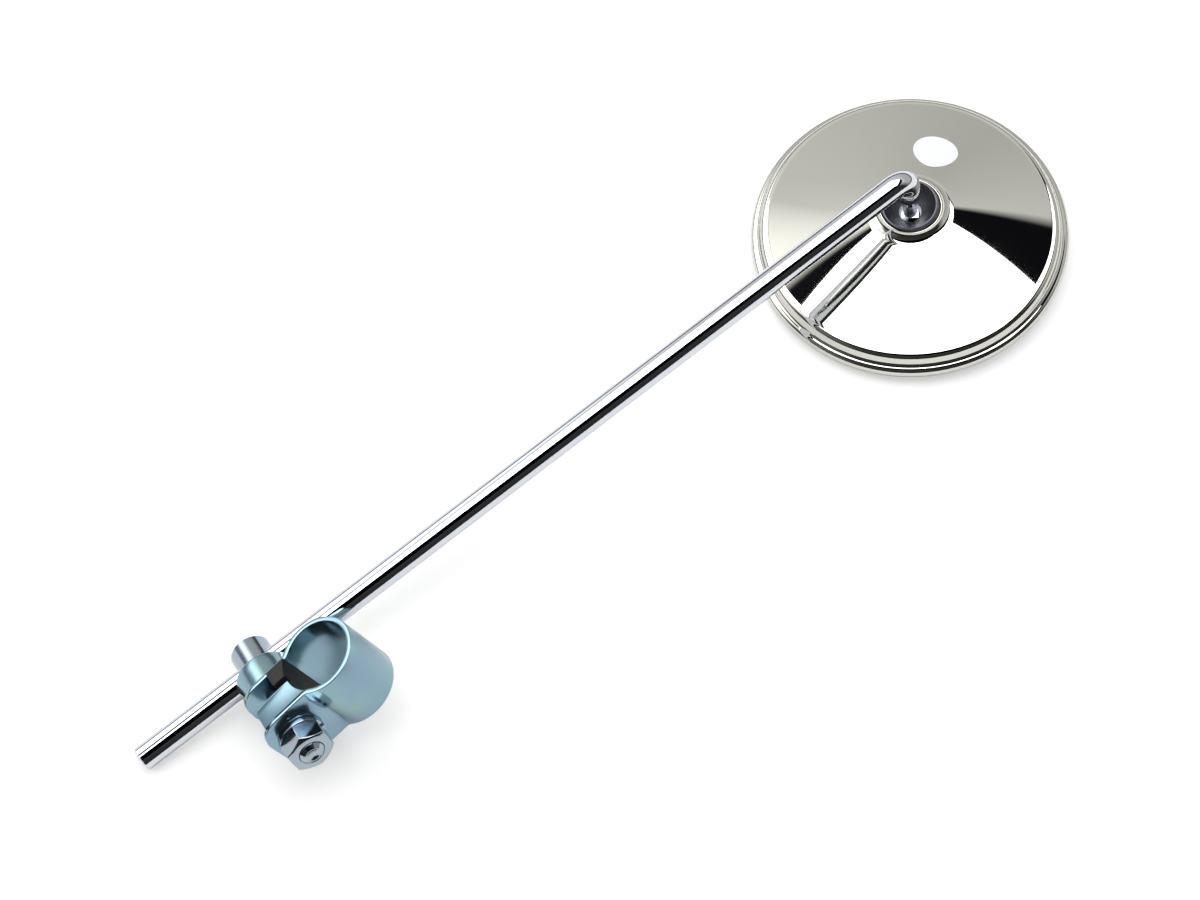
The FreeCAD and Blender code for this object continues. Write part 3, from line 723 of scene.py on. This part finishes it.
class MIRROR_OT_strap(bpy.types.Operator):
    """Builds the folded clamp strap with its two flanges"""

    bl_idname = "mirror.strap"
    bl_label = "Clamp strap"

    def execute(self, context):
        """Sheet strip along a lug, a soft fold, the loop round the bar and back, then two side flanges."""
        sizes = context.scene.mirror_clamp
        half_thick = sizes.strap_thick / 2
        loop_r = sizes.bar_dia / 2 + half_thick
        lug_y = sizes.lug_gap / 2 + half_thick
        joint = math.acos(lug_y / loop_r)
        fold = np.linspace(0, 1, 14)[:, None]
        reach = sizes.fold_reach
        meet = np.array([lug_y, -loop_r * math.sin(joint)])
        after = -joint + reach / loop_r
        leave = loop_r * np.array([math.cos(after), math.sin(after)])
        enter = meet - np.array([0, reach])
        bend = (1 - fold) ** 2 * enter + 2 * fold * (1 - fold) * meet + fold ** 2 * leave
        grow = 1 - np.cos(np.linspace(0, math.pi / 2, 22)[:, None])
        foot = np.array([lug_y, -sizes.lug_bottom])
        lug = foot + grow * (enter - foot)
        turns = np.linspace(after, math.pi / 2, 60)[1:, None]
        loop = loop_r * np.hstack([np.cos(turns), np.sin(turns)])
        half_path = np.vstack([lug[:-1], bend, loop])
        other = half_path[-2::-1] * np.array([-1, 1])
        path = np.vstack([half_path, other])
        way = np.gradient(path, axis=0)
        way = way / np.linalg.norm(way, axis=1)[:, None]
        middle = np.hstack([np.zeros((len(path), 1)), path])
        through = np.hstack([np.zeros((len(path), 1)), way[:, 1:], -way[:, :1]])
        depth = np.minimum(path[:, 1] + sizes.lug_bottom, sizes.lug_corner)
        corner = sizes.lug_corner
        half_wide = sizes.strap_width / 2 - corner + np.sqrt(corner ** 2 - (corner - depth) ** 2)
        material = blue_zinc(context.scene.mirror_finishes)
        strap = strip("clamp_strap_surface", middle, half_wide, half_thick,
                      BAR_AXIS, through, SHEET_EDGE, material)
        place(strap, "clamp", "blue_zinc", "clamp_strap")
        self.flanges(sizes, material)
        self.packing(context, sizes)
        return {"FINISHED"}

    def flanges(self, sizes, material):
        """Two plates along the lug's sides: hollow above to the bar, with a rounded lower corner."""
        half_thick, corner = sizes.strap_thick / 2, sizes.flange_corner
        flange_y = np.linspace(-sizes.flange_reach, 0, STEPS_CURVE) + sizes.lug_gap / 2 + half_thick
        into = np.minimum(flange_y - flange_y[0], corner)
        low = corner - np.sqrt(corner ** 2 - (corner - into) ** 2) - sizes.flange_bottom
        high = -np.sqrt(sizes.flange_clear_r ** 2 - flange_y ** 2)
        tall = (high - low) / 2
        for name, side in (("front_flange", 1), ("back_flange", -1)):
            across_place = np.full(len(flange_y), side * (sizes.strap_width / 2 - half_thick))
            middle = np.stack([across_place, flange_y, (high + low) / 2], axis=1)
            plate = strip(name, middle, half_thick, tall, BAR_AXIS, RISE_AXIS, SHEET_EDGE, material)
            place(plate, "clamp", "blue_zinc")

    def packing(self, context, sizes):
        """Saddle of rubber between the lugs: flat below, hollow to the bar above, wide past the flanges.
        Its black is partly painted shade that darkens the gap.
        """
        gap_y = np.linspace(-1, 1, STEPS_CURVE) * (sizes.lug_gap / 2 - PACKING_SIDE)
        high = -np.sqrt((sizes.bar_dia / 2 + PACKING_CLEAR) ** 2 - gap_y ** 2)
        low = -sizes.packing_bottom
        middle = np.stack([0 * gap_y, gap_y, (high + low) / 2], axis=1)
        free = sizes.lug_gap / 2 - sizes.flange_reach - PACKING_EDGE
        wide = np.where(gap_y < free, sizes.packing_lip, sizes.packing_width) / 2
        # Black saddle in the gap: partly a rubber piece, partly painted shade that darkens the gap
        rubber = moulded_rubber(context.scene.mirror_finishes)
        tall = (high - low) / 2
        packing = strip("gap_packing_and_shade", middle, wide, tall, BAR_AXIS, RISE_AXIS, PACKING_EDGE, rubber)
        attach(packing, "clamp")


class MIRROR_OT_bolt(bpy.types.Operator):
    """Builds the eye bolt, the cup, the spring washer and the nut"""

    bl_idname = "mirror.bolt"
    bl_label = "Bolt set"

    def execute(self, context):
        """Turned bolt and cup, a cut ring and a six-sided prism bevelled by a cone, on the bolt's axis."""
        sizes = context.scene.mirror_clamp
        colours = context.scene.mirror_finishes
        bright = bright_zinc(colours)
        bolt_r, eye_r, end = sizes.bolt_dia / 2, sizes.eye_dia / 2, sizes.bolt_end
        outline = np.array([
            (0, -sizes.eye_far),
            (eye_r - sizes.eye_edge, -sizes.eye_far),
            (eye_r, -sizes.eye_far + sizes.eye_edge),
            (eye_r, -sizes.eye_near - sizes.eye_edge),
            (eye_r - sizes.eye_edge, -sizes.eye_near),
            (bolt_r, -sizes.eye_near),
            (bolt_r, end - sizes.bolt_edge),
        ])
        ring_r = np.linspace(bolt_r - sizes.bolt_edge, sizes.bolt_dimple, 25)
        ring_turns = 2 * math.pi * (ring_r[0] - ring_r) / sizes.tool_mark
        rings = np.stack([ring_r, end - TOOL_DEPTH * (1 - np.cos(ring_turns))], axis=1)
        outline = np.vstack([outline, rings, [(0, end - sizes.bolt_dimple / 2)]])
        bolt = turned("eye_bolt_surface", outline, BOLT_MIDDLE, BOLT_AXIS, bright, closed=False)
        soften(bolt, BOLT_BEVEL)
        place(bolt, "bolt_set", "bolt_zinc", "eye_bolt")
        self.cup(context, sizes, colours)
        self.washer(sizes, bright)
        self.nut(sizes, bright)
        return {"FINISHED"}

    def cup(self, context, sizes, colours):
        """Cup: a wall turned about the bolt, its rim lowered to the arm's underside where the arm lies."""
        arm = context.scene.mirror_arm
        out_r, in_r, hole_r = sizes.cup_dia / 2, sizes.cup_dia / 2 - sizes.cup_wall, sizes.hole_dia / 2
        edge, rim, floor = sizes.cup_edge, sizes.cup_rim, sizes.cup_foot + sizes.cup_floor
        outline = np.vstack([
            line((hole_r, sizes.cup_foot), (out_r, sizes.cup_foot)),
            line((out_r, sizes.cup_foot), (out_r, rim - edge), 6)[1:],
            arc((out_r, rim - edge), (out_r - edge, rim), edge, 1, 8)[1:],
            line((out_r - edge, rim), (in_r, rim), 3)[1:],
            line((in_r, rim), (in_r, floor), 6)[1:],
            line((in_r, floor), (hole_r, floor))[1:],
        ])
        turns = circle(2 * STEPS_ROUND)[:, None]
        aside = outline[None, :, 0] * np.sin(turns)
        rod_r = arm.rod_dia / 2
        hollow = np.sqrt(np.clip(rod_r ** 2 - aside ** 2, 0, None))
        limit = np.where(np.abs(aside) < rod_r, arm.rod_offset - hollow, rim)
        height = np.minimum(outline[None, :, 1], limit)
        spokes = around(BOLT_AXIS, turns)
        points = BOLT_MIDDLE + outline[None, :, :1] * spokes - height[..., None] * BOLT_AXIS
        cup = surface("rod_cup_surface", points, True, True, blue_zinc(colours))
        place(cup, "bolt_set", "blue_zinc", "rod_cup")

    def washer(self, sizes, material):
        """Spring washer: a rounded square section carried round the bolt, open at its split."""
        out_r, hole_r = sizes.washer_dia / 2, sizes.hole_dia / 2
        middle_r = (out_r + hole_r) / 2
        gap = sizes.washer_split / 2 / middle_r
        spokes = around(BOLT_AXIS, np.linspace(gap, 2 * math.pi - gap, STEPS_ROUND))
        level = BOLT_MIDDLE + BOLT_AXIS * (sizes.washer_foot + sizes.washer_thick / 2)
        middle = level + middle_r * spokes
        washer = strip("spring_washer_surface", middle, sizes.washer_thick / 2, (out_r - hole_r) / 2,
                       BOLT_AXIS, spokes, SHEET_EDGE, material)
        place(washer, "bolt_set", "bolt_zinc", "spring_washer")

    def nut(self, sizes, material):
        """Nut: at each turn the radius runs out to the hexagon, and a 30 degree cone cuts the outside."""
        turns = circle(STEPS_ROUND)
        sixth = math.pi / 3
        hexagon = sizes.nut_flats / 2 / np.cos((turns + sixth / 2) % sixth - sixth / 2)
        bevel_r = sizes.nut_bevel_dia / 2
        hole = np.full(STEPS_ROUND, sizes.hole_dia / 2)
        top = np.full(STEPS_ROUND, sizes.nut_height)
        drop = np.clip(hexagon - bevel_r, 0, None) / math.sqrt(3)
        radii = np.stack([hole, hexagon, hexagon, np.full(STEPS_ROUND, bevel_r), hole], axis=1)
        heights = np.stack([0 * top, 0 * top, top - drop, top, top], axis=1) + sizes.nut_foot
        spokes = around(BOLT_AXIS, turns)
        points = BOLT_MIDDLE + radii[..., None] * spokes[:, None] + heights[..., None] * BOLT_AXIS
        nut = surface("hex_nut_surface", points, True, True, material)
        soften(nut, NUT_BEVEL)
        place(nut, "bolt_set", "bolt_zinc", "hex_nut")


class MIRROR_OT_inside(bpy.types.Operator):
    """Gives the glass, its gasket and the parts inside the head their finishes"""

    bl_idname = "mirror.inside"
    bl_label = "Glass and inside"

    def execute(self, context):
        colours = context.scene.mirror_finishes
        steel = spring_steel(colours)
        finishes = {
            "glass_gasket": moulded_rubber(colours),
            "mirror_glass": silvered_glass(colours),
            "backing_pad": cut_foam(colours),
            "ball_seat": steel,
            "disc_spring": steel,
            "spring_bridge": steel,
        }
        for name, material in finishes.items():
            mesh = frame["nodes"][name].data
            mesh.materials.clear()
            mesh.materials.append(material)
        return {"FINISHED"}


def lowest(direction):
    """Lowest reach of the CAD nodes along a direction."""
    reaches = []
    for node in frame["nodes"].values():
        places = np.zeros(3 * len(node.data.vertices), np.float32)
        node.data.vertices.foreach_get("co", places)
        reaches.append((places.reshape(-1, 3) @ direction).min())
    return min(reaches)


def turned_to(right, up, out, middle):
    """Matrix of a stage object with those axes and that place."""
    matrix = np.eye(4)
    matrix[:3, 0], matrix[:3, 1], matrix[:3, 2], matrix[:3, 3] = right, up, out, middle
    return Matrix(matrix)


class MIRROR_OT_studio(bpy.types.Operator):
    """Builds the floor, the light and the camera"""

    bl_idname = "mirror.studio"
    bl_label = "Studio"

    def execute(self, context):
        """Floor square to the head's axis but for a small tip along the arm, under the lowest CAD point."""
        settings = context.scene.mirror_studio
        axis = head_axis(context)
        along = around(axis, np.array(0.0))
        floor_up = unit(axis + math.tan(settings.floor_tip) * along)
        picture_right = np.array(settings.camera_right)
        right = unit(picture_right - floor_up * np.dot(picture_right, floor_up))
        away = np.cross(floor_up, right)
        centre = (np.array(LOADED_SIZE[0]) + np.array(LOADED_SIZE[1])) / 2
        base = centre + floor_up * (lowest(floor_up) - np.dot(centre, floor_up))
        self.floor(base, right, away)
        self.light(context, base, right, away, floor_up)
        self.camera(context, settings)
        context.scene.view_settings.view_transform = "Standard"
        return {"FINISHED"}

    def floor(self, base, right, away):
        """Pale card under the mirror, partly clear to the camera and open from below: it hides no pose."""
        square = ((-1, -1), (1, -1), (1, 1), (-1, 1))
        corners = [base + CARD_HALF * (x * right + y * away) for x, y in square]
        mesh = bpy.data.meshes.new("table")
        mesh.from_pydata(corners, [], [(0, 1, 2, 3)])
        material, tree, card = finish("White card, matt", {"Base Color": CARD_SHADE, "Roughness": 0.9})
        path = add(tree, "ShaderNodeLightPath").outputs
        back = add(tree, "ShaderNodeNewGeometry").outputs["Backfacing"]
        seen = path["Is Camera Ray"]
        part = add(tree, "ShaderNodeMath", {0: seen, 1: CARD_CLEAR}, operation="MULTIPLY")
        under = add(tree, "ShaderNodeMath", {0: path["Transparent Depth"], 1: back},
                    operation="ADD", use_clamp=True)
        clear = add(tree, "ShaderNodeMath", {0: part.outputs["Value"], 1: under.outputs["Value"]},
                    operation="MAXIMUM")
        front = add(tree, "ShaderNodeMath", {0: seen, 1: back}, operation="SUBTRACT", use_clamp=True)
        lift = add(tree, "ShaderNodeMath", {0: front.outputs["Value"], 1: CARD_LIFT}, operation="MULTIPLY")
        glow = add(tree, "ShaderNodeEmission", {"Strength": lift.outputs["Value"]})
        opening = add(tree, "ShaderNodeBsdfTransparent")
        mixed = add(tree, "ShaderNodeMixShader", {
            0: clear.outputs["Value"], 1: card.outputs["BSDF"], 2: opening.outputs["BSDF"]})
        whole = add(tree, "ShaderNodeAddShader", {0: mixed.outputs["Shader"], 1: glow.outputs["Emission"]})
        tree.links.new(whole.outputs["Shader"], tree.nodes["Material Output"].inputs["Surface"])
        mesh.materials.append(material)
        table = linked("table", mesh)

    def light(self, context, base, right, away, up):
        """Soft box high over the table, and a room that is white to the camera and graded to the metal.

        The grade follows the height of a direction over the leaning ceiling line: a dark foot, a grey wall
        that brightens upwards and a black ceiling. The near side is dimmed, a window brightens the left,
        and what lies below is pale.
        """
        lamp = bpy.data.lights.new("soft_box", "AREA")
        lamp.shape = "RECTANGLE"
        lamp.size, lamp.size_y = BOX_SIDES
        lamp.energy = BOX_POWER
        box = linked("soft_box", lamp)
        place_over = np.array(BOX_PLACE) @ np.array([right, away, up])
        box.matrix_world = turned_to(right, away, up, base + place_over)
        world = bpy.data.worlds.new("studio")
        context.scene.world = world
        world.use_nodes = True
        tree = world.node_tree
        tree.nodes.clear()
        way = add(tree, "ShaderNodeTexCoord").outputs["Generated"]
        ceiling = unit(up + CEILING_LEAN * right)
        rise, depth, side = (
            add(tree, "ShaderNodeVectorMath", {0: way, 1: axis}, operation="DOT_PRODUCT").outputs["Value"]
            for axis in (ceiling, away, right))
        wall = add(tree, "ShaderNodeValToRGB", {"Fac": rise})
        stops = wall.color_ramp.elements
        for height, _ in ROOM_SHADES[1:-1]:
            stops.new(height)
        for stop, (height, shade) in zip(stops, ROOM_SHADES):
            stop.position, stop.color = height, shade
        lit = wall.outputs["Color"]
        for value, factor in ((depth, NEAR_SIDE), (side, WINDOW), (side, SIDEWAYS)):
            share = add(tree, "ShaderNodeMapRange", {"Value": value, **dict(zip(RANGE, factor))})
            lit = add(tree, "ShaderNodeVectorMath", {0: lit, "Scale": share.outputs["Result"]},
                      operation="SCALE").outputs["Vector"]
        # Sockets 6 and 7 are the colours of a Mix node, and output 2 is what it makes of them
        below = add(tree, "ShaderNodeMapRange", {"Value": rise, **dict(zip(RANGE, BELOW))})
        room = add(tree, "ShaderNodeMix", {
            "Factor": below.outputs["Result"], 6: lit, 7: UNDERSIDE}, data_type="RGBA")
        path = add(tree, "ShaderNodeLightPath")
        shade = add(tree, "ShaderNodeMix", {
            "Factor": path.outputs["Is Camera Ray"], 6: room.outputs[2], 7: (1, 1, 1, 1)}, data_type="RGBA")
        sky = add(tree, "ShaderNodeBackground", {"Color": shade.outputs[2], "Strength": 1.0})
        add(tree, "ShaderNodeOutputWorld", {"Surface": sky.outputs["Background"]})

    def camera(self, context, settings):
        """Camera at the viewing angle of the picture, its upper side made square to its right."""
        lens = bpy.data.cameras.new("picture")
        lens.lens = settings.lens
        lens.sensor_width = settings.sensor
        right = unit(np.array(settings.camera_right))
        up = np.array(settings.camera_up)
        up = unit(up - right * np.dot(up, right))
        viewer = linked("picture", lens)
        viewer.matrix_world = turned_to(right, up, np.cross(right, up), np.array(settings.camera_place))
        context.scene.camera = viewer


class MIRROR_PT_panel(bpy.types.Panel):
    """Lists the pieces and the studio"""

    bl_idname = "MIRROR_PT_panel"
    bl_label = "Clamp-on mirror"
    bl_space_type = "VIEW_3D"
    bl_region_type = "UI"
    bl_category = "Mirror"

    def draw(self, context):
        for operator in OPERATORS:
            self.layout.operator(operator.bl_idname)


GROUPS = {
    "mirror_clamp": ClampSizes,
    "mirror_arm": ArmSizes,
    "mirror_head": HeadSizes,
    "mirror_finishes": Finishes,
    "mirror_studio": StudioSettings,
}
OPERATORS = (
    MIRROR_OT_shell,
    MIRROR_OT_label,
    MIRROR_OT_arm,
    MIRROR_OT_ball,
    MIRROR_OT_strap,
    MIRROR_OT_bolt,
    MIRROR_OT_inside,
    MIRROR_OT_studio,
)


def register():
    for name, group in GROUPS.items():
        bpy.utils.register_class(group)
        setattr(bpy.types.Scene, name, PointerProperty(type=group))
    for operator in OPERATORS:
        bpy.utils.register_class(operator)
    bpy.utils.register_class(MIRROR_PT_panel)


def unregister():
    bpy.utils.unregister_class(MIRROR_PT_panel)
    for operator in reversed(OPERATORS):
        bpy.utils.unregister_class(operator)
    for name, group in reversed(list(GROUPS.items())):
        delattr(bpy.types.Scene, name)
        bpy.utils.unregister_class(group)


def main():
    for thing in list(bpy.data.objects):
        if thing.name in ("Cube", "Light", "Camera"):
            bpy.data.objects.remove(thing)
    register()
    bpy.ops.mirror.shell()
    bpy.ops.mirror.label()
    bpy.ops.mirror.arm()
    bpy.ops.mirror.ball()
    bpy.ops.mirror.strap()
    bpy.ops.mirror.bolt()
    bpy.ops.mirror.inside()
    bpy.ops.mirror.studio()


if __name__ == "__main__":
    main()
